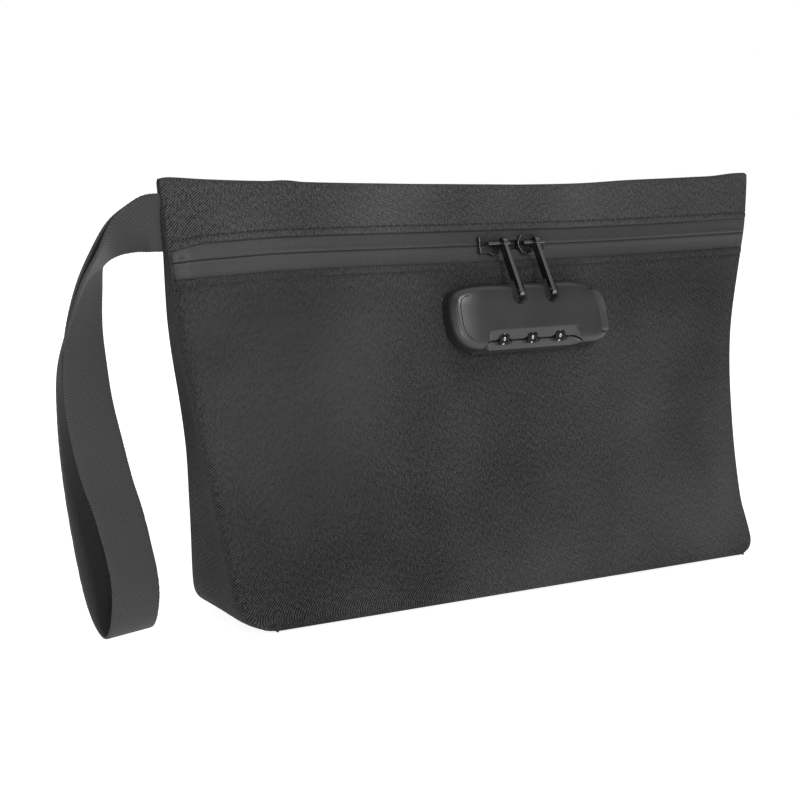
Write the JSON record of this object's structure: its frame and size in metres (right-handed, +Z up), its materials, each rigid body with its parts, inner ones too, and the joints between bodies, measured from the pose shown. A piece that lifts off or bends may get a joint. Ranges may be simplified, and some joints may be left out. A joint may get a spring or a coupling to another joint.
{
  "type": "cash deposit bag",
  "caption": "Wedge-shaped zipped cloth pouch for cash, with a combination lock that holds both zip pulls, and a webbing wrist strap.",
  "frame": {"origin": "centre of the underside of the base panel, on the surface the bag stands on", "axes": "+X along the zip to the right as seen from the front, +Y to the back, +Z up; the sloping front with the lock faces -Y"},
  "size_m": [0.3207, 0.0518, 0.163],
  "materials": {
    "pouch_cloth": "matte twill, faintly heathered",
    "zip_tape": "satin film-coated tape",
    "zip_coil": "dull",
    "foam": "matte foam",
    "lining": "plain weave",
    "board": "matte",
    "black_metal": "satin black",
    "pull_metal": "satin black with bright worn edges",
    "lock_plastic": "satin",
    "dial_plastic": "gloss, white digits",
    "steel": "plain",
    "webbing": "ribbed webbing"
  },
  "bodies": {
    "bag": {"header_panel": "pouch_cloth", "front_panel": "pouch_cloth", "back_panel": "pouch_cloth", "base_panel": "pouch_cloth", "left_gusset": "pouch_cloth", "right_gusset": "pouch_cloth", "top_edge_binding": "pouch_cloth", "zipper_tape_upper": "zip_tape", "zipper_tape_lower": "zip_tape", "zipper_coil_upper": "zip_coil", "zipper_coil_lower": "zip_coil", "zipper_stop_left": "black_metal", "zipper_stop_right": "black_metal", "front_padding": "foam", "back_padding": "foam", "front_lining": "lining", "back_lining": "lining", "base_board": "board", "lock_base": "lock_plastic", "lock_cover": "lock_plastic", "lock_backing_plate": "steel", "lock_screws": "steel", "dial_axle": "steel", "dial_detent_spring": "steel", "reset_pin": "steel", "latch_spring": "steel"},
    "slider_left": {"slider_left_body": "black_metal", "slider_left_bail": "black_metal"},
    "slider_right": {"slider_right_body": "black_metal", "slider_right_bail": "black_metal"},
    "pull_left": {"pull_left_bar": "pull_metal"},
    "pull_right": {"pull_right_bar": "pull_metal"},
    "dial_one": {"dial_1": "dial_plastic"},
    "dial_two": {"dial_2": "dial_plastic"},
    "dial_three": {"dial_3": "dial_plastic"},
    "release": {"latch_bar": "lock_plastic", "release_tab": "lock_plastic"},
    "strap": {"wrist_strap": "webbing"}
  },
  "joints": [
    {"name": "slider_left_slide", "type": "slide", "parent": "bag", "child": "slider_left", "axis": [1, 0, 0], "range_m": [-0.122, 0]},
    {"name": "slider_right_slide", "type": "slide", "parent": "bag", "child": "slider_right", "axis": [1, 0, 0], "range_m": [0, 0.107]},
    {"name": "pull_left_hinge", "type": "hinge", "parent": "slider_left", "child": "pull_left", "pos_m": [0.002, -0.00136, 0.13622], "axis": [-1, 0, 0], "range_deg": [-11, 150]},
    {"name": "pull_right_hinge", "type": "hinge", "parent": "slider_right", "child": "pull_right", "pos_m": [0.0176, -0.00136, 0.13622], "axis": [-1, 0, 0], "range_deg": [-11, 150]},
    {"name": "dial_1_turn", "type": "hinge", "parent": "bag", "child": "dial_one", "pos_m": [-0.006, -0.01056, 0.10035], "axis": [1, 0, 0], "continuous": true},
    {"name": "dial_2_turn", "type": "hinge", "parent": "bag", "child": "dial_two", "pos_m": [0.0075, -0.01056, 0.10035], "axis": [1, 0, 0], "continuous": true},
    {"name": "dial_3_turn", "type": "hinge", "parent": "bag", "child": "dial_three", "pos_m": [0.021, -0.01056, 0.10035], "axis": [1, 0, 0], "continuous": true},
    {"name": "release_press", "type": "slide", "parent": "bag", "child": "release", "axis": [-1, 0, 0], "range_m": [-0.0018, 0.0025], "stiffness_N_per_m": 150, "springref_m": -0.0018, "deforming": ["latch_spring"]},
    {"name": "strap_swing", "type": "hinge", "parent": "bag", "child": "strap", "pos_m": [-0.1418, 0.00995, 0.147], "axis": [0, 0, 1], "range_deg": [-60, 60], "stiffness_Nm_per_rad": 0.004}
  ]
}
